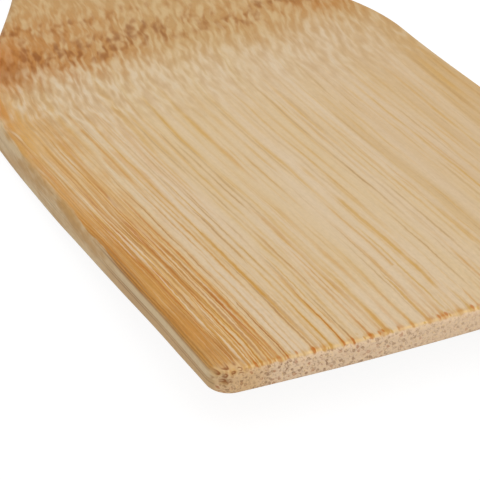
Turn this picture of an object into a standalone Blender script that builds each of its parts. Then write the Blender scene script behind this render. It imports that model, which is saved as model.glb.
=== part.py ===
"""Bamboo spatula, carved in one piece from the wall of a bamboo culm.

Metres, +Z up. The spatula lies on its flat back with the origin in the middle of its footprint,
+X towards the tip of the blade and +Y across it. Along the spatula every size is a function of the
distance behind the middle of the tip.
"""

import math

import bmesh
import bpy

# Plan, seen from above
OVERALL_LENGTH = 0.300
BLADE_LENGTH = 0.067  # from the tip to where the shoulders start
SHOULDER_LENGTH = 0.045  # from there to the neck
BLADE_WIDTH = 0.064
BLADE_ROOT_WIDTH = 0.061  # the blade at the start of the shoulders
NECK_WIDTH = 0.021
HANDLE_END_WIDTH = 0.025
TIP_BOW = 0.0010  # how far the middle of the tip stands ahead of its corners
TIP_CORNER_RADIUS = 0.0030

# Side profile
TIP_LIFT = 0.006  # rise of the tip's underside above the flat back
BEND_LENGTH = 0.070  # part of the blade that curves up
BEND_ROUNDNESS = 0.7  # share of an S-shaped rise, the rest rises steadily steeper
BEND_POWER = 1.5
TIP_THICKNESS = 0.0034
HANDLE_THICKNESS = 0.0065
THICKENING_LENGTH = 0.270  # distance over which the tip's thickness grows to the handle's
THICKENING_POWER = 1.5

# Rounded long edges, between the faces and the sides
BLADE_EDGE_RADIUS = 0.0008
HANDLE_EDGE_RADIUS = 0.0020
MOST_EDGE_SHARE = 0.45  # of the local thickness

# Hanging hole through the handle
HOLE_DIAMETER = 0.008
HOLE_FROM_END = 0.016  # from the handle's end to the hole's centre
HOLE_EDGE_RADIUS = 0.0008

# Fineness of the mesh
STATION_SPACING = 0.005
TIP_EDGE_STEPS = 10
CORNER_STEPS = 6
END_STEPS = 12
EDGE_STEPS = 3
HOLE_STEPS = 32

BAMBOO_COLOUR = (0.68, 0.50, 0.32, 1.0)
BAMBOO_ROUGHNESS = 0.55

NECK_DISTANCE = BLADE_LENGTH + SHOULDER_LENGTH
TIP_X = OVERALL_LENGTH / 2


def clamp(share):
    return min(max(share, 0.0), 1.0)


def ease(share):
    """Smooth step from 0 to 1 with level ends."""
    share = clamp(share)
    return share * share * (3 - 2 * share)


def mix(first, second, share):
    return first + (second - first) * share


def half_width(distance):
    """Half the plan width: blade, shoulders and handle in one smooth line."""
    narrowing = (BLADE_WIDTH - BLADE_ROOT_WIDTH) / 2
    blade = BLADE_WIDTH / 2 - narrowing * (distance / BLADE_LENGTH) ** 2
    along_handle = (distance - NECK_DISTANCE) / (OVERALL_LENGTH - NECK_DISTANCE)
    handle = mix(NECK_WIDTH, HANDLE_END_WIDTH, clamp(along_handle)) / 2
    return mix(blade, handle, ease((distance - BLADE_LENGTH) / SHOULDER_LENGTH))


def back_height(distance):
    """Height of the underside: flat under the handle, lifted towards the tip."""
    reach = clamp(1 - distance / BEND_LENGTH)
    return TIP_LIFT * mix(reach**BEND_POWER, ease(reach), BEND_ROUNDNESS)


def thickness(distance):
    left = clamp(1 - distance / THICKENING_LENGTH)
    return mix(HANDLE_THICKNESS, TIP_THICKNESS, left**THICKENING_POWER)


def edge_radius(distance):
    along = ease((distance - BLADE_LENGTH) / SHOULDER_LENGTH)
    radius = mix(BLADE_EDGE_RADIUS, HANDLE_EDGE_RADIUS, along)
    return min(radius, MOST_EDGE_SHARE * thickness(distance))


def tip_edge():
    """Half of the bowed tip edge, from the middle to the corner, as (distance, y)."""
    slope = math.atan(2 * TIP_BOW / (BLADE_WIDTH / 2))
    reach = BLADE_WIDTH / 2 - TIP_CORNER_RADIUS * (1 - math.sin(slope))
    steps = TIP_EDGE_STEPS // 2
    return [(TIP_BOW * (i / steps) ** 2, reach * i / steps) for i in range(steps + 1)]


def corner(start):
    """Rounded corner from the tip edge to the side, as (distance, y)."""
    slope = math.atan(2 * TIP_BOW / start[1])
    centre = start[0] + TIP_CORNER_RADIUS * math.cos(slope)
    side = half_width(centre) - TIP_CORNER_RADIUS
    points = []
    for i in range(1, CORNER_STEPS + 1):
        angle = mix(slope, math.pi / 2, i / CORNER_STEPS)
        across = side + TIP_CORNER_RADIUS * math.sin(angle)
        points.append((centre - TIP_CORNER_RADIUS * math.cos(angle), across))
    return points


def side(start, end):
    """Side from the corner to the rounded handle end, as (distance, y)."""
    count = round((end - start) / STATION_SPACING)
    stations = [mix(start, end, i / count) for i in range(1, count + 1)]
    return [(distance, half_width(distance)) for distance in stations]


def handle_end(centre):
    """Quarter round from the side to the middle of the handle's end, as (distance, y)."""
    radius = OVERALL_LENGTH - centre
    angles = [math.pi / 2 * i / END_STEPS for i in range(1, END_STEPS + 1)]
    return [(centre + radius * math.sin(a), half_width(centre) * math.cos(a)) for a in angles]


def plan_outline():
    """Points around the plan, counter-clockwise from above, and the index of each tip corner."""
    edge = tip_edge()
    round_corner = corner(edge[-1])
    end_centre = OVERALL_LENGTH - HANDLE_END_WIDTH / 2
    long_side = side(round_corner[-1][0], end_centre)
    half = edge[1:] + round_corner + long_side + handle_end(end_centre)[:-1]
    mirrored = [(distance, -across) for distance, across in reversed(half)]
    outline = [edge[0]] + half + [(OVERALL_LENGTH, 0.0)] + mirrored
    return outline, len(edge) - 1


def outward_normals(outline):
    normals = []
    count = len(outline)
    for i in range(count):
        before = outline[i - 1]
        after = outline[(i + 1) % count]
        along = (before[0] - after[0], after[1] - before[1])
        length = math.hypot(*along)
        normals.append((along[1] / length, -along[0] / length))
    return normals


def ring_offsets():
    """Inset and drop of each ring of the rounded edge, as shares of its radius."""
    angles = [math.pi / 2 * i / EDGE_STEPS for i in range(EDGE_STEPS + 1)]
    return [(1 - math.sin(a), 1 - math.cos(a)) for a in angles]


def add_ring(bm, outline, inset_share, drop_share, above):
    """One closed loop of vertices round the body, above or below mid thickness."""
    ring = []
    for (distance, across), (ahead, aside) in zip(outline, outward_normals(outline)):
        radius = edge_radius(distance)
        inset = radius * inset_share
        height = back_height(distance) + radius * drop_share
        if above:
            height = back_height(distance) + thickness(distance) - radius * drop_share
        place = (TIP_X - distance - ahead * inset, across - aside * inset, height)
        ring.append(bm.verts.new(place))
    return ring


def bridge(bm, upper, lower):
    count = len(upper)
    for i in range(count):
        j = (i + 1) % count
        bm.faces.new((upper[i], lower[i], lower[j], upper[j]))


def cap(bm, ring, last_tip_point, facing_up):
    """Face over the tip edge, then one strip across for each pair of opposite points."""
    count = len(ring)
    tip = [ring[i % count] for i in range(-last_tip_point, last_tip_point + 1)]
    strips = [tip]
    for i in range(last_tip_point, count // 2 - 1):
        strips.append([ring[i], ring[i + 1], ring[-i - 1], ring[-i]])
    strips.append([ring[count // 2 - 1], ring[count // 2], ring[count // 2 + 1]])
    for strip in strips:
        bm.faces.new(strip if facing_up else reversed(strip))


def spatula_mesh():
    outline, last_tip_point = plan_outline()
    bm = bmesh.new()
    offsets = ring_offsets()
    rings = [add_ring(bm, outline, inset, drop, True) for inset, drop in offsets]
    rings += [add_ring(bm, outline, inset, drop, False) for inset, drop in reversed(offsets)]
    for upper, lower in zip(rings, rings[1:]):
        bridge(bm, upper, lower)
    cap(bm, rings[0], last_tip_point, True)
    cap(bm, rings[-1], last_tip_point, False)
    mesh = bpy.data.meshes.new("spatula_body")
    bm.to_mesh(mesh)
    bm.free()
    mesh.shade_smooth()
    mesh.set_sharp_from_angle(angle=math.radians(40))
    return mesh


def hole_profile():
    """Half section of the hole's cutter as (radius, height), flared at both faces of the handle."""
    centre_distance = OVERALL_LENGTH - HOLE_FROM_END
    low = back_height(centre_distance)
    high = low + thickness(centre_distance)
    flare = HOLE_EDGE_RADIUS
    radius = HOLE_DIAMETER / 2
    beyond = thickness(centre_distance)
    angles = [math.pi / 2 * i / EDGE_STEPS for i in range(EDGE_STEPS + 1)]
    lower = [(radius + flare * (1 - math.sin(a)), low + flare * (1 - math.cos(a))) for a in angles]
    upper = [(across, high + low - height) for across, height in reversed(lower)]
    mouth = radius + flare
    return [(mouth, low - beyond)] + lower + upper + [(mouth, high + beyond)]


def hole_cutter():
    """Solid of revolution that cuts the hanging hole with its rounded rims."""
    profile = hole_profile()
    centre_x = TIP_X - (OVERALL_LENGTH - HOLE_FROM_END)
    bm = bmesh.new()
    rings = []
    for radius, height in profile:
        ring = []
        for i in range(HOLE_STEPS):
            angle = 2 * math.pi * i / HOLE_STEPS
            ring.append(bm.verts.new((radius * math.cos(angle), radius * math.sin(angle), height)))
        rings.append(ring)
    for lower, upper in zip(rings, rings[1:]):
        bridge(bm, upper, lower)
    bm.faces.new(reversed(rings[0]))
    bm.faces.new(rings[-1])
    mesh = bpy.data.meshes.new("hanging_hole_cutter")
    bm.to_mesh(mesh)
    bm.free()
    cutter = bpy.data.objects.new("hanging_hole_cutter", mesh)
    cutter.location = (centre_x, 0, 0)
    cutter.hide_render = True
    cutter.display_type = "WIRE"
    bpy.context.scene.collection.objects.link(cutter)
    return cutter


def bamboo():
    material = bpy.data.materials.new("bamboo")
    material.use_nodes = True
    shader = material.node_tree.nodes["Principled BSDF"]
    shader.inputs["Base Color"].default_value = BAMBOO_COLOUR
    shader.inputs["Roughness"].default_value = BAMBOO_ROUGHNESS
    shader.inputs["Metallic"].default_value = 0.0
    material.diffuse_color = BAMBOO_COLOUR
    return material


def build():
    for obj in list(bpy.data.objects):
        bpy.data.objects.remove(obj, do_unlink=True)
    body = bpy.data.objects.new("spatula_body", spatula_mesh())
    bpy.context.scene.collection.objects.link(body)
    body.data.materials.append(bamboo())
    hole = body.modifiers.new("hanging_hole", "BOOLEAN")
    hole.object = hole_cutter()
    hole.operation = "DIFFERENCE"


build()
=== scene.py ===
"""Bamboo spatula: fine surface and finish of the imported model, with floor, light and camera.

Metres, +Z up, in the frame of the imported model: the spatula lies on its flat back, +X towards the
tip of the blade and +Y across it. The body is one piece of bamboo, so one mesh stands for it. Its
plan and profile follow the same formulas as the solid that it replaces. The grain is a solid
texture: fibre bundles run through the whole body, show as streaks on the faces and as dots where
the tip cuts across them, and swerve where the culm had its node. Texture sizes are in millimetres.
"""

import math

import bmesh
import bpy
from mathutils import Matrix, Vector, noise


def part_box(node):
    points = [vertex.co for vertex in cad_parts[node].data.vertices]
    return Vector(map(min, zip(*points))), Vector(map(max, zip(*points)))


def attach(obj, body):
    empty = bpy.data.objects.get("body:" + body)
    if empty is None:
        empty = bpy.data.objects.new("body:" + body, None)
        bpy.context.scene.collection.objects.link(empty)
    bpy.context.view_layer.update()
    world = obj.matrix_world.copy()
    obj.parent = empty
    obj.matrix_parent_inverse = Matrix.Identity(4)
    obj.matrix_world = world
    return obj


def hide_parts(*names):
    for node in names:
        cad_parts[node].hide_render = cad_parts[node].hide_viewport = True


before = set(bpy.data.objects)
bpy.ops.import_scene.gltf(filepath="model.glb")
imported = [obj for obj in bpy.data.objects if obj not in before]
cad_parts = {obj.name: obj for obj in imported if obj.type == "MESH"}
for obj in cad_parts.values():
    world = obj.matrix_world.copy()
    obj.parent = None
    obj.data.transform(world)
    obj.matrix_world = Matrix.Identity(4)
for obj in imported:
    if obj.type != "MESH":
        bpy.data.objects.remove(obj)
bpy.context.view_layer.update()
BODY_LOW, BODY_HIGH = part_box("spatula_body")

MM = 0.001

# Plan, seen from above
OVERALL_LENGTH = BODY_HIGH.x - BODY_LOW.x
TIP_X = BODY_HIGH.x
BLADE_WIDTH = BODY_HIGH.y - BODY_LOW.y
BLADE_LENGTH = 0.067
SHOULDER_LENGTH = 0.045
BLADE_ROOT_WIDTH = 0.061
NECK_WIDTH = 0.021
HANDLE_END_WIDTH = 0.025
TIP_BOW = 0.0010
TIP_CORNER_RADIUS = 0.0030
NECK_DISTANCE = BLADE_LENGTH + SHOULDER_LENGTH
END_CENTRE_DISTANCE = OVERALL_LENGTH - HANDLE_END_WIDTH / 2

# Side profile
TIP_LIFT = 0.006
BEND_LENGTH = 0.070
BEND_ROUNDNESS = 0.7
BEND_POWER = 1.5
TIP_THICKNESS = 0.0034
HANDLE_THICKNESS = 0.0065
THICKENING_LENGTH = 0.270
THICKENING_POWER = 1.5

# Rounded long edges
BLADE_EDGE_RADIUS = 0.0008
HANDLE_EDGE_RADIUS = 0.0020
MOST_EDGE_SHARE = 0.42

# Hanging hole through the handle
HOLE_DIAMETER = 0.008
HOLE_FROM_END = 0.016
HOLE_EDGE_RADIUS = 0.0008
HOLE_PATCH = 0.0068  # half size of the patch of the faces that is drawn round the hole
HOLE_LOOP_SHARES = (0.3, 0.6, 0.85)  # how far the loops in that patch lie on the way to the hole

# Hand sanding: every deviation lies inside the solid
SIDE_WAVINESS = 0.00014
SIDE_WAVE_LENGTH = 0.011
FACE_WAVINESS = 0.00005
FACE_WAVE_LENGTH = 0.009
EDGE_RADIUS_CHANGE = 0.18
SIDE_SEED = 0.1
FACE_SEED = 0.2
EDGE_SEED = 0.3

# Fineness of the mesh
HALF_TIP_STEPS = 26
HALF_CORNER_STEPS = 6
BLADE_ROW = 0.0010
HANDLE_ROW = 0.0025
HOLE_ROW = 0.0006
HOLE_ROWS_START = 0.276
END_ARC_STEPS = 10
EDGE_STEPS = 7
WALL_STEPS = 5
TIP_ROWS_FADE = 0.014  # length over which the rows across take up the tip's shape
END_ROWS_FADE = 0.020


def clamp(share):
    return min(max(share, 0.0), 1.0)


def ease(share):
    """Smooth step from 0 to 1 with level ends."""
    share = clamp(share)
    return share * share * (3 - 2 * share)


def mix(first, second, share):
    return first + (second - first) * share


def half_width(distance):
    narrowing = (BLADE_WIDTH - BLADE_ROOT_WIDTH) / 2
    blade = BLADE_WIDTH / 2 - narrowing * (distance / BLADE_LENGTH) ** 2
    along_handle = (distance - NECK_DISTANCE) / (OVERALL_LENGTH - NECK_DISTANCE)
    handle = mix(NECK_WIDTH, HANDLE_END_WIDTH, clamp(along_handle)) / 2
    return mix(blade, handle, ease((distance - BLADE_LENGTH) / SHOULDER_LENGTH))


def back_height(distance):
    reach = clamp(1 - distance / BEND_LENGTH)
    return TIP_LIFT * mix(reach**BEND_POWER, ease(reach), BEND_ROUNDNESS)


def thickness(distance):
    left = clamp(1 - distance / THICKENING_LENGTH)
    return mix(HANDLE_THICKNESS, TIP_THICKNESS, left**THICKENING_POWER)


def edge_radius(distance, across):
    """Radius of the rounded edge, a little uneven as hand sanding leaves it."""
    along = ease((distance - BLADE_LENGTH) / SHOULDER_LENGTH)
    radius = mix(BLADE_EDGE_RADIUS, HANDLE_EDGE_RADIUS, along)
    unevenness = noise.noise(Vector((distance, across, EDGE_SEED)) / SIDE_WAVE_LENGTH)
    radius = radius * (1 + EDGE_RADIUS_CHANGE * unevenness)
    return min(radius, MOST_EDGE_SHARE * thickness(distance))


def sanding(place, wave_length, depth):
    """How far sanding took the surface below the solid at one place, never above it."""
    return depth * (0.5 + 0.5 * noise.noise(Vector(place) / wave_length))


def quarter_angles(steps):
    return [math.pi / 2 * i / steps for i in range(steps + 1)]


def tip_run():
    """Tip edge from its middle to half way round the corner, as (distance, across)."""
    slope = math.atan(4 * TIP_BOW / BLADE_WIDTH)
    reach = BLADE_WIDTH / 2 - TIP_CORNER_RADIUS * (1 - math.sin(slope))
    shares = [i / HALF_TIP_STEPS for i in range(HALF_TIP_STEPS + 1)]
    edge = [(TIP_BOW * share**2, reach * share) for share in shares]
    return edge, corner_arc(edge[-1])


def corner_arc(start):
    """Round corner from the end of the tip edge to the side, as (distance, across)."""
    slope = math.atan(2 * TIP_BOW / start[1])
    centre = start[0] + TIP_CORNER_RADIUS * math.cos(slope)
    side = half_width(centre) - TIP_CORNER_RADIUS
    points = []
    for i in range(1, 2 * HALF_CORNER_STEPS + 1):
        angle = mix(slope, math.pi / 2, i / (2 * HALF_CORNER_STEPS))
        across = side + TIP_CORNER_RADIUS * math.sin(angle)
        points.append((centre - TIP_CORNER_RADIUS * math.cos(angle), across))
    return points


def stations(start, end, spacing):
    count = round((end - start) / spacing)
    return [mix(start, end, i / count) for i in range(1, count + 1)]


def end_arc():
    """Round end of the handle from the side to its middle, as (distance, across)."""
    radius = OVERALL_LENGTH - END_CENTRE_DISTANCE
    half = half_width(END_CENTRE_DISTANCE)
    steps = END_ARC_STEPS + HALF_TIP_STEPS + HALF_CORNER_STEPS
    points = []
    for i in range(1, steps + 1):
        share = i / (2 * END_ARC_STEPS)
        if i > END_ARC_STEPS:
            share = mix(0.5, 1.0, (i - END_ARC_STEPS) / (steps - END_ARC_STEPS))
        angle = math.pi / 2 * share
        points.append((END_CENTRE_DISTANCE + radius * math.sin(angle), half * math.cos(angle)))
    return points


def half_plan():
    """Plan on the +Y side from the middle of the tip to the middle of the end, with two marks.

    The marks are the points half way round the corner and half way to the end's middle. Between
    them run the rows across the faces.
    """
    edge, arc = tip_run()
    distances = stations(arc[-1][0], BLADE_LENGTH + SHOULDER_LENGTH, BLADE_ROW)
    distances += stations(distances[-1], HOLE_ROWS_START, HANDLE_ROW)
    distances += stations(distances[-1], END_CENTRE_DISTANCE, HOLE_ROW)
    side = [(distance, half_width(distance)) for distance in distances]
    points = edge + arc + side + end_arc()
    first_row = len(edge) - 1 + HALF_CORNER_STEPS
    last_row = len(edge) - 1 + len(arc) + len(side) + END_ARC_STEPS
    return points, first_row, last_row


def outward_normals(outline):
    normals = []
    count = len(outline)
    for i in range(count):
        before = outline[i - 1]
        after = outline[(i + 1) % count]
        along = (before[0] - after[0], after[1] - before[1])
        length = math.hypot(*along)
        normals.append((along[1] / length, -along[0] / length))
    return normals


def sanded_plan(half):
    """Closed plan, counter-clockwise from above, drawn in a little where the sides are wavy."""
    mirrored = [(distance, -across) for distance, across in reversed(half[1:-1])]
    outline = half + mirrored
    sanded = []
    for (distance, across), (ahead, aside) in zip(outline, outward_normals(outline)):
        depth = sanding((distance, across, SIDE_SEED), SIDE_WAVE_LENGTH, SIDE_WAVINESS)
        sanded.append((distance + ahead * depth, across - aside * depth))
    return sanded


def face_height(distance, across, above):
    """Height of the upper or lower face, with the faint unevenness of sanding."""
    if above:
        depth = sanding((distance, across, FACE_SEED), FACE_WAVE_LENGTH, FACE_WAVINESS)
        return back_height(distance) + thickness(distance) - depth
    return back_height(distance)


def add_ring(bm, outline, angle, above):
    """One closed loop of vertices along the rounded edge: angle 0 is at the face."""
    ring = []
    for (distance, across), (ahead, aside) in zip(outline, outward_normals(outline)):
        radius = edge_radius(distance, across)
        inset = radius * (1 - math.sin(angle))
        drop = radius * (1 - math.cos(angle))
        distance += ahead * inset
        across -= aside * inset
        height = face_height(distance, across, above)
        height += -drop if above else drop
        ring.append(bm.verts.new((TIP_X - distance, across, height)))
    return ring


def wall_rings(bm, upper, lower):
    """Loops that divide the wall between the two rounded edges."""
    rings = []
    for step in range(1, WALL_STEPS):
        share = step / WALL_STEPS
        rings.append([bm.verts.new(a.co.lerp(b.co, share)) for a, b in zip(upper, lower)])
    return rings


def bridge(bm, upper, lower):
    count = len(upper)
    for i in range(count):
        j = (i + 1) % count
        bm.faces.new((upper[i], lower[i], lower[j], upper[j]))


def face_grid(bm, ring, first_row, last_row, above):
    """Rows of vertices over a face, from the tip to the handle's end, each from -Y to +Y.

    The rows are straight across, and take up the tip's and the end's shape near them.
    """
    count = len(ring)
    middle = count // 2
    columns = 2 * first_row
    rows = last_row - first_row
    tip = [ring[(i - first_row) % count] for i in range(columns + 1)]
    end = [ring[middle + first_row - i] for i in range(columns + 1)]
    tip_width = tip[-1].co.y - tip[0].co.y
    shares = [(vertex.co.y - tip[0].co.y) / tip_width for vertex in tip]
    grid = [tip]
    for j in range(1, rows):
        left = ring[count - first_row - j]
        right = ring[first_row + j]
        ahead = TIP_X - left.co.x
        near_tip = 1 - ease((ahead - TIP_CORNER_RADIUS / 2) / TIP_ROWS_FADE)
        near_end = ease(1 - (OVERALL_LENGTH - ahead - TIP_CORNER_RADIUS / 2) / END_ROWS_FADE)
        row = [left]
        for i in range(1, columns):
            straight = left.co.lerp(right.co, shares[i])
            from_tip = tip[i].co - tip[0].co.lerp(tip[-1].co, shares[i])
            from_end = end[i].co - end[0].co.lerp(end[-1].co, shares[i])
            place = straight + from_tip * near_tip + from_end * near_end
            height = face_height(TIP_X - place.x, place.y, above)
            row.append(bm.verts.new((place.x, place.y, height)))
        row.append(right)
        grid.append(row)
    grid.append(end)
    return grid


def hole_block(grid):
    """Rows and columns of the patch round the hanging hole: (first row, last row, first, last)."""
    middle = len(grid[0]) // 2
    hole_x = TIP_X - (OVERALL_LENGTH - HOLE_FROM_END)
    rows = [j for j, row in enumerate(grid) if abs(row[middle].co.x - hole_x) < HOLE_PATCH]
    across = grid[rows[len(rows) // 2]]
    columns = [i for i, vertex in enumerate(across) if abs(vertex.co.y) < HOLE_PATCH]
    return rows[0], rows[-1], columns[0], columns[-1]


def fill_face(bm, grid, block, above):
    first_row, last_row, first_column, last_column = block
    for j in range(len(grid) - 1):
        for i in range(len(grid[0]) - 1):
            if first_row <= j < last_row and first_column <= i < last_column:
                continue
            corners = (grid[j][i], grid[j + 1][i], grid[j + 1][i + 1], grid[j][i + 1])
            bm.faces.new(reversed(corners) if above else corners)


def block_loop(grid, block):
    """Vertices round the patch, counter-clockwise seen from above."""
    first_row, last_row, first_column, last_column = block
    loop = [grid[first_row][i] for i in range(first_column, last_column)]
    loop += [grid[j][last_column] for j in range(first_row, last_row)]
    loop += [grid[last_row][i] for i in range(last_column, first_column, -1)]
    loop += [grid[j][first_column] for j in range(last_row, first_row, -1)]
    return loop


def add_loop(bm, places, above, drop=0.0):
    """Vertices at places of a face, or a drop inwards from it."""
    loop = []
    for place in places:
        height = face_height(TIP_X - place.x, place.y, above)
        height += -drop if above else drop
        loop.append(bm.verts.new((place.x, place.y, height)))
    return loop


def hole_loops(bm, outer, above):
    """Loops from the patch's edge in to the mouth of the hole, and down its rounded rim."""
    hole_distance = OVERALL_LENGTH - HOLE_FROM_END
    centre = Vector((TIP_X - hole_distance, 0.0))
    mouth = HOLE_DIAMETER / 2 + HOLE_EDGE_RADIUS
    outwards = [vertex.co.xy - centre for vertex in outer]
    loops = [outer]
    for share in HOLE_LOOP_SHARES:
        places = [centre + mix(away, away.normalized() * mouth, share) for away in outwards]
        loops.append(add_loop(bm, places, above))
    for angle in quarter_angles(EDGE_STEPS):
        radius = HOLE_DIAMETER / 2 + HOLE_EDGE_RADIUS * (1 - math.sin(angle))
        drop = HOLE_EDGE_RADIUS * (1 - math.cos(angle))
        places = [centre + away.normalized() * radius for away in outwards]
        loops.append(add_loop(bm, places, above, drop))
    return loops


def body_mesh():
    half, first_row, last_row = half_plan()
    outline = sanded_plan(half)
    bm = bmesh.new()
    angles = quarter_angles(EDGE_STEPS)
    upper = [add_ring(bm, outline, angle, True) for angle in angles]
    lower = [add_ring(bm, outline, angle, False) for angle in reversed(angles)]
    rings = upper + wall_rings(bm, upper[-1], lower[0]) + lower
    for one, other in zip(rings, rings[1:]):
        bridge(bm, one, other)
    top = face_grid(bm, rings[0], first_row, last_row, True)
    back = face_grid(bm, rings[-1], first_row, last_row, False)
    block = hole_block(top)
    fill_face(bm, top, block, True)
    fill_face(bm, back, block, False)
    hole = hole_loops(bm, block_loop(top, block), True)
    hole += reversed(hole_loops(bm, block_loop(back, block), False))
    for one, other in zip(hole, hole[1:]):
        bridge(bm, other, one)
    mesh = bpy.data.meshes.new("spatula_bamboo")
    bm.to_mesh(mesh)
    bm.free()
    mesh.shade_smooth()
    return mesh


def srgb(code):
    """Linear colour of a six-digit screen colour code."""
    channels = [int(code[i : i + 2], 16) / 255 for i in (0, 2, 4)]
    linear = [c / 12.92 if c <= 0.04045 else ((c + 0.055) / 1.055) ** 2.4 for c in channels]
    return (*linear, 1.0)


def grey(level):
    return (level, level, level, 1.0)


class Field:
    """A value at each point of the surface: a shader node's output that takes part in formulas."""

    def __init__(self, graph, socket):
        self.graph = graph
        self.socket = socket

    def __add__(self, other):
        return self.graph.math("ADD", self, other)

    __radd__ = __add__

    def __sub__(self, other):
        return self.graph.math("SUBTRACT", self, other)

    def __rsub__(self, other):
        return self.graph.math("SUBTRACT", other, self)

    def __mul__(self, other):
        return self.graph.math("MULTIPLY", self, other)

    __rmul__ = __mul__

    def __truediv__(self, other):
        return self.graph.math("DIVIDE", self, other)

    def __pow__(self, other):
        return self.graph.math("POWER", self, other)

    def __abs__(self):
        return self.graph.math("ABSOLUTE", self)

    def clamp(self):
        return self.graph.node("Clamp", {"Value": self})

    def step(self, start, end):
        """Smooth step: 0 up to the start and 1 from the end on, whichever of them is larger."""
        inputs = {"Value": self, "From Min": start, "From Max": end}
        return self.graph.node("MapRange", inputs, "Result", interpolation_type="SMOOTHSTEP")

    def bump_at(self, centre, reach):
        """1 at the centre, falling smoothly to 0 at reach on both sides."""
        return abs(self - centre).step(reach, 0.0)


# The noise node's middle value, and what stretches it to run from about -1 to 1
NOISE_MIDDLE = 0.5
NOISE_GAIN = 4.0

# The mix node's sockets for colours
MIX_FIRST, MIX_SECOND, MIX_RESULT = 6, 7, 2


class Graph:
    """The nodes of a material or of the world, written as formulas."""

    def __init__(self, owner):
        owner.use_nodes = True
        self.nodes = owner.node_tree.nodes
        self.links = owner.node_tree.links

    def give(self, value, socket):
        """Link a field to a socket, or set a plain value there."""
        if isinstance(value, Field):
            self.links.new(value.socket, socket)
        else:
            socket.default_value = value

    def node(self, kind, inputs, output=0, **settings):
        """New node with its settings and with values at its inputs, as a field of one output."""
        node = self.nodes.new("ShaderNode" + kind)
        for name, value in settings.items():
            setattr(node, name, value)
        for name, value in inputs.items():
            self.give(value, node.inputs[name])
        return Field(self, node.outputs[output])

    def math(self, operation, *values):
        return self.node("Math", dict(enumerate(values)), operation=operation)

    def largest(self, first, second):
        return self.math("MAXIMUM", first, second)

    def length(self, x, y):
        return self.math("SQRT", x * x + y * y)

    def point(self, x, y, z=0.0):
        return self.node("CombineXYZ", {0: x, 1: y, 2: z})

    def parts(self, vector):
        """The three parts of a vector or of a colour."""
        split = self.node("SeparateXYZ", {0: vector})
        return [Field(self, socket) for socket in split.socket.node.outputs]

    def noise(self, place, detail=1.0, roughness=0.5):
        """Smooth noise of wave length 1, mostly between -1 and 1."""
        inputs = {"Scale": 1.0, "Detail": detail, "Roughness": roughness}
        waves = self.node("TexNoise", {"Vector": self.point(*place), **inputs})
        return (waves - NOISE_MIDDLE) * NOISE_GAIN

    def cells(self, place, randomness):
        """Offsets aside and ahead from the nearest scattered centre, and its 3 random values."""
        point = self.point(*place)
        inputs = {"Vector": point, "Scale": 1.0, "Randomness": randomness}
        centre = self.node("TexVoronoi", inputs, "Position", voronoi_dimensions="2D")
        colour = Field(self, centre.socket.node.outputs["Color"])
        offset = self.node("VectorMath", {0: point, 1: centre}, operation="SUBTRACT")
        aside, ahead, _ = self.parts(offset)
        return (aside, ahead), self.parts(colour)

    def blend(self, share, first, second):
        """Colour between two colours."""
        inputs = {0: share, MIX_FIRST: first, MIX_SECOND: second}
        return self.node("Mix", inputs, MIX_RESULT, data_type="RGBA")

    def brightened(self, colour, factor):
        return self.node("VectorMath", {0: colour, "Scale": factor}, operation="SCALE")


# Bamboo colours, as they look in plain light, but for the skin's olive and tan, which are painted
# lighter for the side's shade
PALE_PINK = srgb("D8C0A0")
PALE_YELLOW = srgb("D3B686")
PALE_GREY = srgb("D8C5A9")
STRIPE_GOLD = srgb("C8914A")
STREAK_GOLD = srgb("C89B4A")
STREAK_ORANGE = srgb("C07E26")
STREAK_BROWN = srgb("A47C4C")
HALO = srgb("CFA55E")
TIP_DROP = srgb("BC6A16")
THIN_BROWN = srgb("9E5C18")
DENSE_GROUND = srgb("CFA05A")
DENSE_LINE = srgb("B56810")
DENSE_PALE = srgb("DAB684")
SOLID_ORANGE = srgb("C28128")
SOLID_DEEP = srgb("BC7014")
RIM_TAN = srgb("C6A16C")
FLAME_TAN = srgb("B68C58")
NODE_TAN = srgb("BF9760")
NODE_ORANGE = srgb("B6762E")
NODE_BROWN = srgb("824608")
EDGE_RED = srgb("BC6E1C")
# Peach of the cut end's paler grains, and of the highlight painted on the tip's arris
PEACH_GRAIN_AND_HIGHLIGHT = srgb("ECC88E")
# The skin's olive and tan are painted lighter than the skin is: painted light that makes up for the
# shade on the side
SKIN_OLIVE_PAINTED_LIGHTER = srgb("D8C098")
SKIN_TAN_PAINTED_LIGHTER = srgb("C8A678")
SKIN_BROWN = srgb("C0965C")
SKIN_LINE = srgb("744824")
SIDE_LINE = srgb("8A5C2A")
END_PALE = srgb("E6C8A6")
END_MARK = srgb("7C481E")
END_RED = srgb("A0501A")
PIT = srgb("8A4A14")

# Grain. Places are in millimetres: along from the tip, across from the middle with the left below
# 0, above the back or below the face. A range says where its share is 0 and where it is 1. A spot
# says where its share is 1 and how far from there it is 0.
BUNDLES_PER_MM = 0.74
FLAME_START = 51.0
NODE_PLACE = 78.4
HANDLE_START = 94.0
HANDLE_GRAIN = 112.0
LEFT_RANGE = (14.0, -24.0)

# How the fibres wander aside, and how they crowd towards the left
NODE_LEAN = 6.0
LEAN_RANGE = (62.0, 98.0)
SLOW_SWAY = 0.28
QUICK_SWAY = 0.09
TWIST = 0.03
NODE_TWIST = 0.3
TWISTED_RANGE = (FLAME_START + 4, NODE_PLACE - 6)
KINK = 0.055
KINK_LOSS = 0.036
KINK_LOSS_RANGE = (26.0, 50.0)
CROWDING = ((-14.0, 0.22), (-23.5, 0.2))  # places, and bundles added per millimetre beyond
RAGGEDNESS = 0.35


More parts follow.
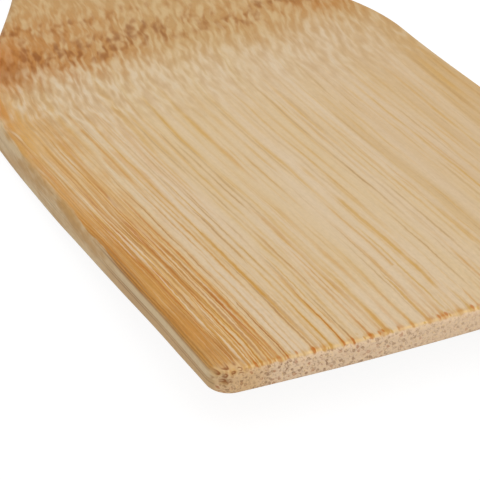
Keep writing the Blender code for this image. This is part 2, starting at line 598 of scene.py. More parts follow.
class Grain(Graph):
    """The bamboo's nodes, with each point's place in the grain and the way it faces."""

    def __init__(self, material):
        super().__init__(material)
        x, y, z = self.parts(self.node("TexCoord", {}, "Object"))
        end, side, _ = self.parts(self.node("TexCoord", {}, "Normal"))
        self.end_facing = abs(end)
        self.side_facing = abs(side)
        self.along = (TIP_X - x) / MM
        self.across = y / MM
        reach = (1 - self.along * (MM / BEND_LENGTH)).clamp()
        eased = reach * reach * (3 - 2 * reach)
        bend = (reach**BEND_POWER) * (1 - BEND_ROUNDNESS) + eased * BEND_ROUNDNESS
        self.above = z / MM - bend * (TIP_LIFT / MM)
        left = (1 - self.along * (MM / THICKENING_LENGTH)).clamp()
        thinning = (left**THICKENING_POWER) * (HANDLE_THICKNESS - TIP_THICKNESS)
        self.below = (HANDLE_THICKNESS - thinning) / MM - self.above
        bow = self.across * self.across * (4 * TIP_BOW * MM / BLADE_WIDTH**2)
        self.from_tip = self.along - bow
        self.patches = self.clouds(length=16, width=6, depth=6, seed=11)
        self.at_left = self.across.step(*LEFT_RANGE)
        self.on_handle = self.along.step(HANDLE_START, HANDLE_GRAIN)
        self.find_fibres()

    def clouds(self, length, width, depth, seed=0, detail=1.0):
        """Noise through the body that the fibres don't steer."""
        place = (self.along / length, self.across / width, self.above / depth + seed)
        return self.noise(place, detail)

    def fibrous(self, length, width, depth=None, seed=0, detail=1.0, roughness=0.5):
        """Noise drawn out along the fibres, the same at every height if it has no depth."""
        height = self.above / depth + seed if depth else seed
        place = (self.along / length, self.aside / width, height)
        return self.noise(place, detail, roughness)

    def find_fibres(self):
        """Place aside that a fibre keeps all its way, and the same counted in bundles."""
        along, across = self.along, self.across
        slow = self.clouds(length=60, width=20, depth=20)
        quick = self.clouds(length=9, width=4, depth=4, seed=7)
        twist = self.clouds(length=4, width=2.4, depth=3, seed=31)
        kinks = self.clouds(length=0.9, width=0.5, depth=0.5, seed=43, detail=2.0)
        kinks = kinks * (KINK - along.step(*KINK_LOSS_RANGE) * KINK_LOSS)
        disorder = along.step(*TWISTED_RANGE)
        disorder = disorder * along.step(HANDLE_GRAIN, HANDLE_START)
        lean = along.step(*LEAN_RANGE) * NODE_LEAN
        self.aside = across - lean + slow * SLOW_SWAY + quick * QUICK_SWAY
        self.aside = self.aside + twist * (disorder * NODE_TWIST + TWIST) + kinks
        self.crowded = self.aside * BUNDLES_PER_MM
        for edge, added in CROWDING:
            beyond = self.largest(edge - self.aside - lean, 0.0)
            self.crowded = self.crowded - beyond * added
        self.ragged = across + self.noise((along / 30, across / 1.6, 3.0)) * RAGGEDNESS


def stained(grain, colour, share, stains):
    """Blend colours in, each as (colour, pattern, start, end, strength).

    A stain lies where its pattern goes from its start, which has none of it, to its end.
    """
    for stain, pattern, start, end, strength in stains:
        colour = grain.blend(share * pattern.step(start, end) * strength, colour, stain)
    return colour


# Streaks. A layer is (length, streaks for each bundle, half width, share of its colour), with the
# width in the spacing of its streaks.
STREAK_LAYERS = ((27.0, 1.5, 0.24, 0.65), (62.0, 1.0, 0.2, 1.0))
STREAK_RISE = 9.0
STREAK_SCATTER = 0.95
STREAK_ENDS = (0.55, 0.18)
APART = 40  # from the noise of one streak to that of the next
SWAY = 0.07
CORE_EDGE = 0.3
HALO_REACH = 2.8
SWELL_SPOT = (0.7, 0.9)
SWELL_STRENGTH = 0.6
SWELL_WIDTH = 0.7
ORANGE_HUES = (0.2, 0.7)
BROWN_HUES = (0.72, 0.8)
DROP_HUES = (0.1, 0.55)
GOLDEN_RANGE = (3.0, 12.0)
GOLDEN_SHIFT = 0.22
TIP_EDGE_RANGE = (2.6, 0.6)
TIP_EDGE_STAIN = 0.8

# How strong the streaks are over the face
STREAK_SHARE = 0.64
TIP_SHARE = 0.45
LEFT_SHARE = 0.36
LEFT_TIP_LOSS = 0.26
STREAK_TIP_RANGE = (24.0, 2.0)
STREAK_LEFT_RANGE = (4.0, -20.0)
FADE_RANGE = (FLAME_START, FLAME_START + 15)
FADE_LAG_AT_LEFT = 6
FADED = 0.85
SOFT_RANGE = (30.0, 52.0)
SOFT_HALO_GAIN = 0.12
SOFT_CORE_LOSS = 0.34


def streak_layer(grain, length, scale, width, boost):
    """Cells far longer than wide, each with one streak that sways and tapers at both ends."""
    row = (grain.along + grain.above * STREAK_RISE) / length + scale
    place = (grain.crowded * scale, row)
    (aside, ahead), (hue, size, vigour) = grain.cells(place, STREAK_SCATTER)
    own = grain.noise((grain.along / 8, hue * APART, size * APART + scale), 2.0)
    sway = grain.noise((grain.along / 7, size * APART, vigour * APART + scale))
    taper = abs(ahead).step(*STREAK_ENDS)
    swell = grain.from_tip.bump_at(*SWELL_SPOT)
    strength = taper * (0.28 + vigour * vigour * 0.9) * (0.9 + own * 0.8) + boost
    strength = (strength * (1 + swell * SWELL_STRENGTH)).clamp()
    half = width * (0.6 + size * size * 0.9) * (1 + swell * SWELL_WIDTH)
    gap = abs(aside + sway * SWAY)
    core = gap.step(half, half * CORE_EDGE) * strength
    halo = gap.step(half * HALO_REACH, half * CORE_EDGE) * strength
    return core, halo, hue


def streaked(grain, colour, outer):
    """Face colour with its streaks of fibre bundles, and how deep in a streak each point is."""
    leftwards = grain.across.step(*STREAK_LEFT_RANGE)
    fading = (grain.along - leftwards * FADE_LAG_AT_LEFT).step(*FADE_RANGE) * FADED
    fading = 1 - fading * (1 - grain.on_handle)
    near_tip = grain.along.step(*STREAK_TIP_RANGE)
    golden = grain.from_tip.step(*GOLDEN_RANGE) * (1 - outer) * GOLDEN_SHIFT
    at_edge = grain.from_tip.step(*TIP_EDGE_RANGE)
    left_share = leftwards * (LEFT_SHARE - near_tip * LEFT_TIP_LOSS)
    weight = fading * (STREAK_SHARE + near_tip * TIP_SHARE + left_share)
    soft = grain.along.step(*SOFT_RANGE) * (1 - grain.on_handle)
    deepest = 0.0
    for length, scale, width, share in STREAK_LAYERS:
        core, halo, hue = streak_layer(grain, length, scale, width, outer * 0.2)
        streak = grain.blend((hue - golden).step(*ORANGE_HUES), STREAK_GOLD, STREAK_ORANGE)
        streak = grain.blend(hue.step(*BROWN_HUES), streak, STREAK_BROWN)
        streak = grain.blend((outer * 0.4 + near_tip * 0.1).clamp(), streak, DENSE_LINE)
        drops = at_edge * hue.step(*DROP_HUES) * TIP_EDGE_STAIN
        streak = grain.blend(drops, streak, TIP_DROP)
        halo_share = halo * weight * (share * 0.55) * (1 + soft * SOFT_HALO_GAIN)
        colour = grain.blend(halo_share, colour, HALO)
        core_share = core * weight * (share * 0.9) * (1 - soft * SOFT_CORE_LOSS)
        colour = grain.blend(core_share.clamp(), colour, streak)
        deepest = grain.largest(core, deepest)
    return colour, deepest


# The face: its pale ground, the tan right side, and the dense outer wood at the left
PALE_SPOT = (-5.0, 8.0)
TAN_RANGE = (3.0, 12.0)
RIM_RANGE = (20.0, 29.0)
DENSE_RANGE = (-23.2, -25.2)
DENSE_FADE_RANGE = (62.0, 24.0)
DENSE_FADE_PATCHES = 8
DENSE_LEAST = 0.32
DENSE_TIP_RANGE = (5.0, 0.5)
SOLID_RANGE = (-28.9, -29.8)
SOLID_SHARE = 0.9
SOLID_FADE_RANGE = (32.0, 52.0)
SOLID_FADE = 0.44
SOLID_TIP_RANGE = (6.0, 1.0)
OUTER_TIP_FADE = 0.35
SPINDLE_SPOT_ALONG = (34.0, 16.0)
SPINDLE_SPOT_ACROSS = (-30.5, 1.8)
OUTER_RANGE = (-13.0, -26.0)
STRIPES_RANGE_ACROSS = (-10.0, -24.0)
STRIPES_SPOT_ALONG = (51.0, 24.0)
STRIPES_STRENGTH = 0.55


def pale_ground(grain):
    """Pink and yellow bands, with tan ones towards the right rim."""
    bands = grain.fibrous(length=90, width=2.2, depth=5, detail=2.0)
    broad = grain.fibrous(length=70, width=8, depth=8, seed=5)
    pale_middle = grain.across.bump_at(*PALE_SPOT) * 0.3
    warmth = 0.34 + bands * 0.35 + broad * 0.3 + grain.patches * 0.12 - pale_middle
    colour = grain.blend(warmth.clamp(), PALE_PINK, PALE_YELLOW)
    tan_bands = grain.fibrous(length=45, width=3.2, seed=64)
    fine_bands = grain.fibrous(length=30, width=1.1, seed=71)
    tan_share = grain.across.step(*TAN_RANGE)
    tan_share = tan_share * (0.25 + tan_bands * 0.34 + fine_bands * 0.12)
    rim_share = grain.across.step(*RIM_RANGE) * 0.5
    return grain.blend((tan_share + rim_share).clamp(), colour, RIM_TAN)


def with_dense_side(grain, colour, lines):
    """Long orange lines and thin brown and pale ones, where the bundles lie close."""
    length = (grain.along + grain.patches * DENSE_FADE_PATCHES).step(*DENSE_FADE_RANGE)
    share = grain.ragged.step(*DENSE_RANGE) * (length * (1 - DENSE_LEAST) + DENSE_LEAST)
    share = share * (1 - grain.from_tip.step(*DENSE_TIP_RANGE) * OUTER_TIP_FADE)
    thin = grain.fibrous(length=19, width=0.4, seed=2, detail=2.0, roughness=0.6)
    colour = grain.blend(share, colour, DENSE_PALE)
    stains = (
        (DENSE_GROUND, lines, -0.3, 0.02, 1.0),
        (DENSE_LINE, lines, 0.04, 0.4, 0.9),
        (THIN_BROWN, thin, 0.04, 0.36, 0.56),
        (PALE_PINK, thin, -0.05, -0.34, 0.82),
    )
    return stained(grain, colour, share, stains)


def with_solid_edge(grain, colour, lines):
    """The outermost wood as one orange band with short strokes, deeper in one long spindle."""
    spindle = (grain.along + grain.patches * 3).bump_at(*SPINDLE_SPOT_ALONG)
    spindle = spindle * grain.across.bump_at(*SPINDLE_SPOT_ACROSS)
    depth = (spindle * 0.7 + lines * 1.2).clamp()
    strokes = grain.fibrous(length=7, width=0.32, seed=19, detail=2.0, roughness=0.6)
    stains = (
        (DENSE_PALE, lines, -0.1, -0.5, 0.45),
        (THIN_BROWN, strokes, 0.1, 0.6, 0.42),
        (RIM_TAN, strokes, -0.1, -0.6, 0.4),
    )
    solid = stained(grain, grain.blend(depth, SOLID_ORANGE, SOLID_DEEP), 1.0, stains)
    share = SOLID_SHARE + grain.patches * 0.28
    share = share - grain.along.step(*SOLID_FADE_RANGE) * SOLID_FADE
    share = share - grain.from_tip.step(*SOLID_TIP_RANGE) * OUTER_TIP_FADE
    edge = grain.ragged.step(*SOLID_RANGE)
    return grain.blend(edge * share.clamp(), colour, solid)


def with_bold_stripes(grain, colour):
    """Broad golden and pale grey stripes on the left of the blade, before the node."""
    bold = grain.fibrous(length=11, width=1.35, seed=71, detail=1.5)
    across = grain.across.step(*STRIPES_RANGE_ACROSS)
    place = across * grain.along.bump_at(*STRIPES_SPOT_ALONG)
    stains = (
        (STRIPE_GOLD, bold, 0.0, 0.55, STRIPES_STRENGTH),
        (PALE_GREY, bold, -0.05, -0.6, STRIPES_STRENGTH),
    )
    return stained(grain, colour, place, stains)


def face_colour(grain):
    """Colour of the broad faces before the node, and how deep in a streak each point is."""
    lines = grain.fibrous(length=48, width=1.15, seed=8, detail=3.0, roughness=0.95)
    colour = pale_ground(grain)
    colour = with_dense_side(grain, colour, lines)
    colour = with_solid_edge(grain, colour, lines)
    colour = with_bold_stripes(grain, colour)
    return streaked(grain, colour, grain.ragged.step(*OUTER_RANGE))


# Drops at the tip edge: size of the cells they lie in, and the drops' own half size in cells
DROP_SPACING = 1.3
DROPS_PER_BUNDLE = 1.6
DROP_SHIFT = (5, -0.2)
DROP_SCATTER = 0.7
DROP_SIZE = (0.28, 0.42)
DROP_RANGE = (2.0, 1.1)
DROP_FACING = (0.9, 0.65)


def tip_drops(grain, colour):
    """Small dark ends of bundles that the rounded tip edge cuts across, in about half the cells."""
    column = grain.crowded * DROPS_PER_BUNDLE + DROP_SHIFT[0]
    place = (column, grain.from_tip / DROP_SPACING + DROP_SHIFT[1])
    (aside, ahead), (size, tint, order) = grain.cells(place, DROP_SCATTER)
    reach = grain.length(aside / DROP_SIZE[0], ahead / DROP_SIZE[1])
    drop = (reach / (0.7 + size * 0.5)).step(1.0, 0.4) * order.step(0.4, 0.6)
    drop = drop * grain.from_tip.step(*DROP_RANGE)
    drop = drop * grain.end_facing.step(*DROP_FACING)
    stain = grain.blend(tint.step(0.3, 0.7), STREAK_GOLD, TIP_DROP)
    return grain.blend(drop * (0.64 + grain.at_left * 0.2), colour, stain)


# The node's band, with rows of blots, and the dashes into which the streaks flame out before it
NODE_LEFT_RANGE = (4.0, -24.0)
FLAME_RANGE = (FLAME_START, 68.0)
FLAME_DEEPENING_RANGE = (64.0, 76.0)
FLAME_DEEPENING = 0.06
BEHIND_RANGE = (NODE_PLACE - 9, NODE_PLACE)
BEHIND_SHIFT = 2
ORANGE_END_RANGE = (98.0, 81.0)
ORANGE_RIGHT_RANGE = (2.0, 12.0)
FIRST_ROW_SPOT = (NODE_PLACE + 0.7, 6.0)
SECOND_ROW_SPOT = (85.4, 3.2)
EARLY_ROW_SPOT = (NODE_PLACE - 6, 4.0)
EARLY_LEFT_RANGE = (-16.0, -22.0)
ROW_SLANT = 1 / 22
RED_RANGE = (-18.0, -26.0)
RED_SPOT = (NODE_PLACE + 1, 8.5)
RIGHT_END_RANGE = (14.0, 25.0)
RIGHT_END_SPOT = (NODE_PLACE - 0.5, 6.5)
KNOT_SPOT_ACROSS = (-25.0, 5.0)
KNOT_SPOT_ALONG = (NODE_PLACE - 1.2, 4.2)
EDGE_RANGE_ACROSS = (-25.5, -29.0)
EDGE_RANGE_ALONG = (50.0, 62.0)
EDGE_END_RANGE = (92.0, 84.0)
DEEP_RANGE_ALONG = (58.0, 72.0)
DEEP_RANGE_ACROSS = (-27.2, -29.8)


def with_flames(grain, colour, dashes, leftwards):
    """Tan and pale grey dashes before the node, stronger at the left."""
    flame = (grain.along + grain.patches * 2).step(*FLAME_RANGE)
    flame = flame * (1 - grain.on_handle * 0.9)
    deepening = grain.along.step(*FLAME_DEEPENING_RANGE) * FLAME_DEEPENING
    stains = (
        (FLAME_TAN, dashes, -0.6, 0.9, 0.42 + leftwards * 0.22 + deepening),
        (PALE_GREY, dashes, 0.0, -1.0, 0.36 + leftwards * 0.26),
    )
    return stained(grain, colour, flame, stains)


def node_ground(grain, dashes, leftwards):
    """Tan of the node's band, more orange at the left, with pale dashes."""
    orange = leftwards * grain.along.step(*ORANGE_END_RANGE) * 0.8
    orange = orange + grain.across.step(*ORANGE_RIGHT_RANGE) * 0.16
    tan = grain.blend(orange, NODE_TAN, NODE_ORANGE)
    return grain.blend(dashes.step(0.5, -0.7) * 0.62, tan, PALE_YELLOW)


def with_band_ends(grain, colour, dashes, blots):
    """Red at the left end of the band, orange at its right end, and a brown knot at the left."""
    along, across, patches = grain.along, grain.across, grain.patches
    red = across.step(*RED_RANGE) * (along + patches * 3).bump_at(*RED_SPOT)
    colour = grain.blend(red * (0.6 - dashes * 0.35).clamp(), colour, EDGE_RED)
    right_end = across.step(*RIGHT_END_RANGE) * (along + patches).bump_at(*RIGHT_END_SPOT)
    colour = grain.blend(right_end * (0.42 + dashes * 0.2).clamp(), colour, NODE_ORANGE)
    knot = across.bump_at(*KNOT_SPOT_ACROSS) * (along + dashes).bump_at(*KNOT_SPOT_ALONG)
    return grain.blend(knot * (0.5 + blots * 0.25).clamp(), colour, NODE_BROWN)


def with_node_edge(grain, colour, dashes):
    """The dense left edge beside the node, red on its outermost strip."""
    outwards = grain.across + grain.patches
    edge = outwards.step(*EDGE_RANGE_ACROSS) * grain.along.step(*EDGE_RANGE_ALONG)
    edge = edge * grain.along.step(*EDGE_END_RANGE)
    deep = (grain.along + grain.patches * 3).step(*DEEP_RANGE_ALONG)
    deep = deep * outwards.step(*DEEP_RANGE_ACROSS)
    lines = grain.fibrous(length=14, width=0.7, seed=12, detail=1.5)
    edge = edge * (0.66 + dashes * 0.3 + lines * 0.9 + deep * 0.35).clamp()
    return grain.blend(edge, colour, grain.blend(deep * 0.85, DENSE_GROUND, EDGE_RED))


def with_node(grain, colour):
    """The band where the culm had its node: dashes before it, then brown blots in rows on tan."""
    along, across, patches = grain.along, grain.across, grain.patches
    leftwards = across.step(*NODE_LEFT_RANGE)
    dashes = grain.fibrous(length=2.9, width=0.7, depth=2, detail=1.6, roughness=0.4)
    blots = grain.fibrous(length=2.1, width=0.95, depth=2, seed=61, detail=1.4, roughness=0.45)
    colour = with_flames(grain, colour, dashes, leftwards)

    wave = grain.noise((across / 8, 3.0)) * 1.3 + patches * 0.8 + dashes * 1.1
    behind = (along + wave + (1 - leftwards) * BEHIND_SHIFT).step(*BEHIND_RANGE)
    behind = behind * (1 - grain.on_handle * 0.75)
    colour = grain.blend(behind * 0.92, colour, node_ground(grain, dashes, leftwards))

    first = (along + wave - across * ROW_SLANT).bump_at(*FIRST_ROW_SPOT)
    second = (along + wave).bump_at(*SECOND_ROW_SPOT) * (0.5 + leftwards * 0.3)
    early_share = 0.12 + across.step(*EARLY_LEFT_RANGE) * 0.2
    early = (along + wave).bump_at(*EARLY_ROW_SPOT) * early_share
    rows = first + second + early + behind * (1 - grain.on_handle) * (0.22 + leftwards * 0.1)
    dark = rows * blots.step(-0.95, 1.1) * (0.76 + leftwards * 0.18)
    stains = (
        (NODE_ORANGE, dark, 0.0, 0.7, 0.34 + leftwards * 0.14),
        (NODE_BROWN, dark, 0.2, 1.15, 0.74),
    )
    colour = stained(grain, colour, 1.0, stains)
    colour = with_band_ends(grain, colour, dashes, blots)
    return with_node_edge(grain, colour, dashes), dark


# The sides: the culm's skin as a stripe on the left of the blade, and fine lines
NODEWARDS_RANGE = (24.0, 36.0)
SKIN_TOP_RANGE = (0.62, 0.85)
SKIN_FOOT_RANGE = (1.75, 1.5)
SKIN_START = (0.42, 0.56)
SKIN_RISE = 0.3
SKIN_BROWN_RANGE = (2.6, 1.2)
LOWER_LINES = ((2.08, 0.17, 0.8), (1.72, 0.14, 0.68))  # depth, reach and strength
UPPER_LINES = ((0.1, 0.1, 0.8), (0.3, 0.11, 1.0), (0.52, 0.16, 1.0))
UPPER_LINES_RANGE = (40.0, 26.0)
SIDE_FACING = (0.5, 0.92)
LEFT_SIDE_RANGE = (-28.6, -29.8)
LEFT_SIDE_HEIGHT = (0.1, 0.35)
LEFT_SIDE_FACING = (0.72, 0.5)


def lines_at(depth, lines):
    """Sum of lines along the side, each at its own depth."""
    total = 0.0
    for centre, reach, strength in lines:
        total = depth.bump_at(centre, reach) * strength + total
    return total


def skin_colour(grain):
    """The culm's skin as an olive stripe that ends in patches, painted lighter than the skin is to
    make up for the side's shade, and where it lies on the side.
    """
    along, below = grain.along, grain.below
    wave = grain.noise((along / 10, 2.0, 5.0), 3.0)
    nodewards = along.step(*NODEWARDS_RANGE)
    depth = below + wave * (0.05 + nodewards * 0.25)
    stripe = depth.step(*SKIN_TOP_RANGE) * depth.step(*SKIN_FOOT_RANGE)
    patch = grain.noise(((along + below * 0.7) / 8, 4.0, below / 2.5), 3.0, 0.6)
    pale = stripe * (1 - nodewards) + patch.step(-0.4, 0.5) * nodewards
    # Olive stripe on tan, both painted lighter to stand in for light that the shaded side does not
    # get
    colour = grain.blend(pale * 0.9, SKIN_TAN_PAINTED_LIGHTER, SKIN_OLIVE_PAINTED_LIGHTER)
    brown = patch.step(0.1, -0.6) * depth.step(*SKIN_BROWN_RANGE) * nodewards
    colour = grain.blend(brown, colour, SKIN_BROWN)
    lines = grain.noise((along / 14, 5.0, depth / 0.16), 3.0, 0.7)
    dark = lines_at(depth, LOWER_LINES) * (1 - nodewards * 0.75)
    dark = dark + lines.step(0.0, 0.8) * 0.4
    dark = dark * (0.75 + grain.patches * 0.4).clamp()
    colour = grain.blend(dark.clamp() * 0.8, colour, SKIN_LINE)
    start, end = (place - nodewards * SKIN_RISE for place in SKIN_START)
    return colour, depth.step(start, end)


def arris_lines(grain):
    """Thin dark lines where the dense left side turns down to the skin."""
    wave = grain.noise((grain.along / 8, 2.0, 15.0), 2.0)
    upper = lines_at(grain.below + wave * 0.03, UPPER_LINES)
    upper = upper * grain.along.step(*UPPER_LINES_RANGE)
    return (upper * (0.8 + grain.patches * 0.5)).clamp()


def with_sides(grain, colour):
    """The long sides: fine lines along them, and the skin on the left of the blade."""
    lines = grain.noise((grain.along / 30, 5.0, grain.below / 0.35), 3.0)
    side = grain.side_facing.step(*SIDE_FACING)
    colour = grain.blend(side * lines.step(0.0, 0.9) * 0.3, colour, SIDE_LINE)
    skin, share = skin_colour(grain)
    left = grain.across.step(*LEFT_SIDE_RANGE)
    left = left * grain.above.step(*LEFT_SIDE_HEIGHT)
    left = left * grain.end_facing.step(*LEFT_SIDE_FACING)
    colour = grain.blend(left * share * 0.95, colour, skin)
    return grain.blend(left * arris_lines(grain) * 0.75, colour, SKIN_LINE)


# The cut end of the tip
ENDS_PER_MM = 1.75
ENDS_SCATTER = 0.95
CORNER_RANGE = (-24.0, -28.0)
LOOPS_PER_MM = (1.15, 1.3)
LOOPS_SCATTER = 0.9
LOOPS_ACROSS = (-27.4, -29.2)
LOOPS_TIP_RANGE = (2.6, 1.3)
LOOPS_FACING = (0.98, 0.85)
LOOPS_BELOW = (2.2, 1.4)
ROUNDED_LENGTH = 2.4
ROUNDED_SLOPE = 0.14


def cross_noise(grain, across, height, size, seed):
    """Noise over the cut end, in grains of one size."""
    return grain.noise((across / size, height / size, seed))


def bundle_ends(grain):
    """Cut ends of the bundles as broken rings and dots, and a tint for each."""
    across, above = grain.across, grain.above
    shiver = cross_noise(grain, across, above, 0.5, 9.0) * 0.2
    place = (across * ENDS_PER_MM + shiver, above * ENDS_PER_MM - shiver)
    (aside, up), (size, tint, order) = grain.cells(place, ENDS_SCATTER)
    distance = grain.length(aside, up)
    ring = distance.bump_at(0.22 + size * 0.12, 0.2)
    ring = ring * cross_noise(grain, across, above, 0.6, 21.0).step(-0.4, 0.2)
    dot = distance.step(0.3, 0.08) * order.step(0.5, 0.75)
    return (ring * (0.4 + order * 0.6) + dot * 0.7).clamp(), tint


def end_colour(grain):
    """Colour of the cut ends, with the bundles' marks stronger at the left, and the marks."""
    marks, tint = bundle_ends(grain)
    grains = cross_noise(grain, grain.across, grain.above, 0.34, 33.0)
    strength = 0.34 + grain.at_left * 0.66
    marks = (marks + grains.step(0.0, 0.9) * 0.5).clamp() * strength
    mark = grain.blend(tint.step(0.7, 0.8), END_MARK, END_RED)
    ground = grain.blend(grains.step(0.0, -0.8) * 0.4, END_PALE, PEACH_GRAIN_AND_HIGHLIGHT)
    corner = grain.across.step(*CORNER_RANGE) * (0.42 + grain.patches * 0.1)
    ground = grain.blend(corner, ground, DENSE_GROUND)
    return grain.blend(marks * 0.66, ground, mark), marks


def with_corner_strokes(grain, colour):
    """Bundles cut aslant, as long brown loops, where the dense left side meets the corner."""
    rounding = grain.largest(ROUNDED_LENGTH - grain.from_tip, 0.0)
    height = grain.above - rounding * rounding * ROUNDED_SLOPE
    shiver = cross_noise(grain, grain.across, height, 0.7, 51.0) * 0.15
    column = grain.across * LOOPS_PER_MM[0] + shiver
    place = (column, height * LOOPS_PER_MM[1] - shiver)
    (aside, up), (_, tint, order) = grain.cells(place, LOOPS_SCATTER)
    distance = grain.length(aside, up)
    loop = distance.bump_at(0.28, 0.2)
    loop = loop * (aside + up * (tint - 0.5)).step(-0.35, 0.05)
    strokes = (loop + distance.step(0.3, 0.05) * order * 0.9).clamp()
    near = grain.from_tip.step(*LOOPS_TIP_RANGE) * grain.across.step(*LOOPS_ACROSS)
    facing = grain.end_facing.step(*LOOPS_FACING)
    near = near * facing * grain.below.step(*LOOPS_BELOW)
    colour = grain.blend(near * (0.35 + tint * 0.45), colour, DENSE_PALE)
    colour = grain.blend(near * order.step(0.5, 0.9) * 0.6, colour, DENSE_GROUND)
    return grain.blend(near * strokes * 0.85, colour, PIT)


# Where the highlight is painted on the tip's arris and where the cut end begins
ARRIS_TIP_RANGE = (4.0, 0.8)
ARRIS_FACING_SPOT = (0.45, 0.42)
ARRIS_BELOW = (1.4, 0.7)
END_FACING = (0.55, 0.85)
EARLY_END_ACROSS = (-28.0, -30.0)
EARLY_END_BELOW = (0.6, 1.2)
EARLY_END = 0.18

# Fine unevenness of the brightness, and the relief that goes with it
FIBRE_SHADING = 0.026
FLECK_SHADING = 0.028
FLECK_SHADING_AT_TIP = 0.016
FLECK_SHADING_AT_LEFT = 0.012
FLECK_TIP_RANGE = (24.0, 4.0)
FLECK_LEFT_RANGE = (-10.0, -24.0)
FIBRE_RELIEF = 0.25
FLECK_RELIEF = 0.15
STREAK_RELIEF = 0.5
MARK_RELIEF = 0.8
BLOT_RELIEF = 0.3


def with_tip_end(grain, colour, core):
    """The tip: its arris with a painted highlight, its drops and its cut end, and the marks on the
    cut end.
    """
    cut, marks = end_colour(grain)
    # A peach band painted on the tip's rounded arris as a highlight, where the surface faces half
    # up and half ahead
    painted_highlight = grain.end_facing.bump_at(*ARRIS_FACING_SPOT)
    painted_highlight = painted_highlight * grain.from_tip.step(*ARRIS_TIP_RANGE)
    painted_highlight = painted_highlight * grain.below.step(*ARRIS_BELOW)
    ripple = grain.noise((grain.across / 0.9, 7.0), 2.0)
    frayed = (0.7 + ripple * 0.65).clamp()
    colour = grain.blend(painted_highlight * (1 - core * 0.8) * frayed, colour, PEACH_GRAIN_AND_HIGHLIGHT)
    colour = tip_drops(grain, colour)
    early = grain.across.step(*EARLY_END_ACROSS)
    early = early * grain.below.step(*EARLY_END_BELOW) * EARLY_END
    end_share = (grain.end_facing + ripple * 0.2 + early).step(*END_FACING)
    colour = grain.blend(end_share, colour, cut)
    return with_corner_strokes(grain, colour), marks * end_share


def bamboo_colour(grain):
    """Colour and relief of the bamboo."""
    colour, core = face_colour(grain)
    colour, blots = with_node(grain, colour)
    colour = with_sides(grain, colour)
    colour, marks = with_tip_end(grain, colour, core)

    fibres = grain.fibrous(length=5, width=0.2, depth=0.5, detail=2.0)
    flecks = grain.clouds(length=0.8, width=0.35, depth=0.35)
    at_tip = grain.along.step(*FLECK_TIP_RANGE) * FLECK_SHADING_AT_TIP
    at_left = grain.across.step(*FLECK_LEFT_RANGE) * FLECK_SHADING_AT_LEFT
    flecking = flecks * (FLECK_SHADING + at_tip + at_left)
    colour = grain.brightened(colour, 1 + fibres * FIBRE_SHADING + flecking)
    relief = fibres * FIBRE_RELIEF + flecks * FLECK_RELIEF - core * STREAK_RELIEF
    return colour, relief - marks * MARK_RELIEF - blots * BLOT_RELIEF


BAMBOO_ROUGHNESS = 0.58
BAMBOO_SPECULAR = 0.2
RELIEF_DEPTH = 0.00003


def bamboo():
    material = bpy.data.materials.new("bamboo")
    grain = Grain(material)
    colour, relief = bamboo_colour(grain)
    bump = grain.node("Bump", {"Strength": 1.0, "Distance": RELIEF_DEPTH, "Height": relief})
    shader = grain.nodes["Principled BSDF"]
    shader.inputs["Specular IOR Level"].default_value = BAMBOO_SPECULAR
    shader.inputs["Roughness"].default_value = BAMBOO_ROUGHNESS
    grain.give(colour, shader.inputs["Base Color"])
    grain.give(bump, shader.inputs["Normal"])
    return material


def add_body():
    body = bpy.data.objects.new("spatula_bamboo", body_mesh())
    bpy.context.scene.collection.objects.link(body)
    body.data.materials.append(bamboo())
    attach(body, "root")
    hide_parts("spatula_body")


# Floor, world and lamps
FLOOR_SIZE = 6.0
FLOOR_DROP = 0.0002
FLOOR_REFLECTANCE = 0.8
FLOOR_OWN_LIGHT = 0.91  # where the camera looks
FLOOR_SHADOW_SHARE = 0.15
WORLD_STRENGTH = 0.66  # towards the object
SEEN_WORLD_STRENGTH = 1.0
LAMPS = (  # name, place, the place it looks at, size and power
    ("key_lamp", (0.9, 0.7, 1.1), (0.1, 0, 0), 0.9, 5.0),
    ("top_lamp", (-0.1, -0.2, 1.5), (0, 0, 0), 1.2, 5.0),
)


def camera_share(graph):
    """1 for camera, glossy and transmission rays, 0 for the light that falls on the object."""
    rays = ("Is Camera Ray", "Is Glossy Ray", "Is Transmission Ray")
    seen, mirrored, refracted = (graph.node("LightPath", {}, ray) for ray in rays)
    return graph.largest(graph.largest(seen, mirrored), refracted)


def floor_material():
    """White with a faint shadow where the camera looks, and a plain white floor to the light."""
    material = bpy.data.materials.new("white_floor")
    graph = Graph(material)
    graph.nodes.remove(graph.nodes["Principled BSDF"])
    shadowed = graph.node("BsdfDiffuse", {"Color": grey(FLOOR_SHADOW_SHARE)})
    glow = graph.node("Emission", {"Strength": FLOOR_OWN_LIGHT})
    seen = graph.node("AddShader", {0: shadowed, 1: glow})
    plain = graph.node("BsdfDiffuse", {"Color": grey(FLOOR_REFLECTANCE)})
    choice = graph.node("MixShader", {0: camera_share(graph), 1: plain, 2: seen})
    graph.give(choice, graph.nodes["Material Output"].inputs["Surface"])
    return material


def add_floor():
    bpy.ops.mesh.primitive_plane_add(size=FLOOR_SIZE, location=(0, 0, -FLOOR_DROP))
    floor = bpy.context.object
    floor.name = "floor"
    floor.data.materials.append(floor_material())


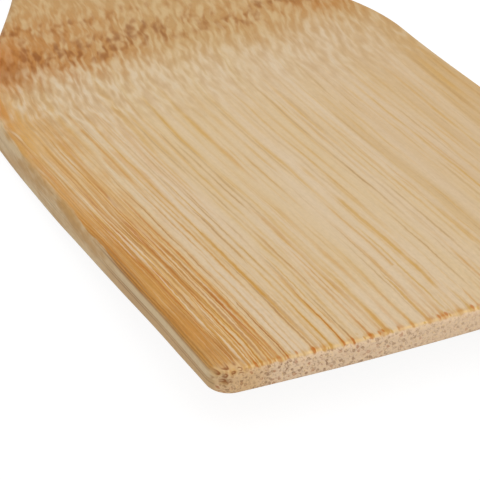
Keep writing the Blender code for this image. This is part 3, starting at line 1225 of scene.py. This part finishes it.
def set_world():
    world = bpy.data.worlds.new("studio")
    bpy.context.scene.world = world
    graph = Graph(world)
    inputs = {"To Min": WORLD_STRENGTH, "To Max": SEEN_WORLD_STRENGTH}
    strength = graph.node("MapRange", {"Value": camera_share(graph), **inputs}, "Result")
    background = graph.nodes["Background"]
    background.inputs["Color"].default_value = grey(1.0)
    graph.give(strength, background.inputs["Strength"])


def add_lamp(name, place, aim, size, power):
    light = bpy.data.lights.new(name, "AREA")
    light.shape = "SQUARE"
    light.size = size
    light.energy = power
    lamp = bpy.data.objects.new(name, light)
    lamp.location = place
    lamp.rotation_euler = (Vector(aim) - Vector(place)).to_track_quat("-Z", "Y").to_euler()
    bpy.context.scene.collection.objects.link(lamp)


# Camera, from a fit of the spatula's outline to the photograph
CAMERA_PLACE = (0.35512, -0.14366, 0.18846)
CAMERA_AZIMUTH = math.radians(28.866)
CAMERA_ELEVATION = math.radians(34.433)
CAMERA_ROLL = math.radians(2.832)
CAMERA_LENS = 201.51
SENSOR_WIDTH = 36.0
NEAREST_SEEN = 0.01


def add_camera():
    level = math.cos(CAMERA_ELEVATION)
    x = -level * math.cos(CAMERA_AZIMUTH)
    y = level * math.sin(CAMERA_AZIMUTH)
    towards = Vector((x, y, -math.sin(CAMERA_ELEVATION)))
    right = towards.cross(Vector((0, 0, 1))).normalized()
    up = right.cross(towards)
    turned_right = math.cos(CAMERA_ROLL) * right + math.sin(CAMERA_ROLL) * up
    turned_up = math.cos(CAMERA_ROLL) * up - math.sin(CAMERA_ROLL) * right
    data = bpy.data.cameras.new("camera")
    data.lens = CAMERA_LENS
    data.sensor_width = SENSOR_WIDTH
    data.sensor_fit = "HORIZONTAL"
    data.clip_start = NEAREST_SEEN
    camera = bpy.data.objects.new("camera", data)
    turn = Matrix((turned_right, turned_up, -towards)).transposed()
    camera.matrix_world = Matrix.Translation(CAMERA_PLACE) @ turn.to_4x4()
    bpy.context.scene.collection.objects.link(camera)
    bpy.context.scene.camera = camera


add_camera()
add_body()
add_floor()
set_world()
for lamp in LAMPS:
    add_lamp(*lamp)
bpy.context.scene.view_settings.view_transform = "Standard"
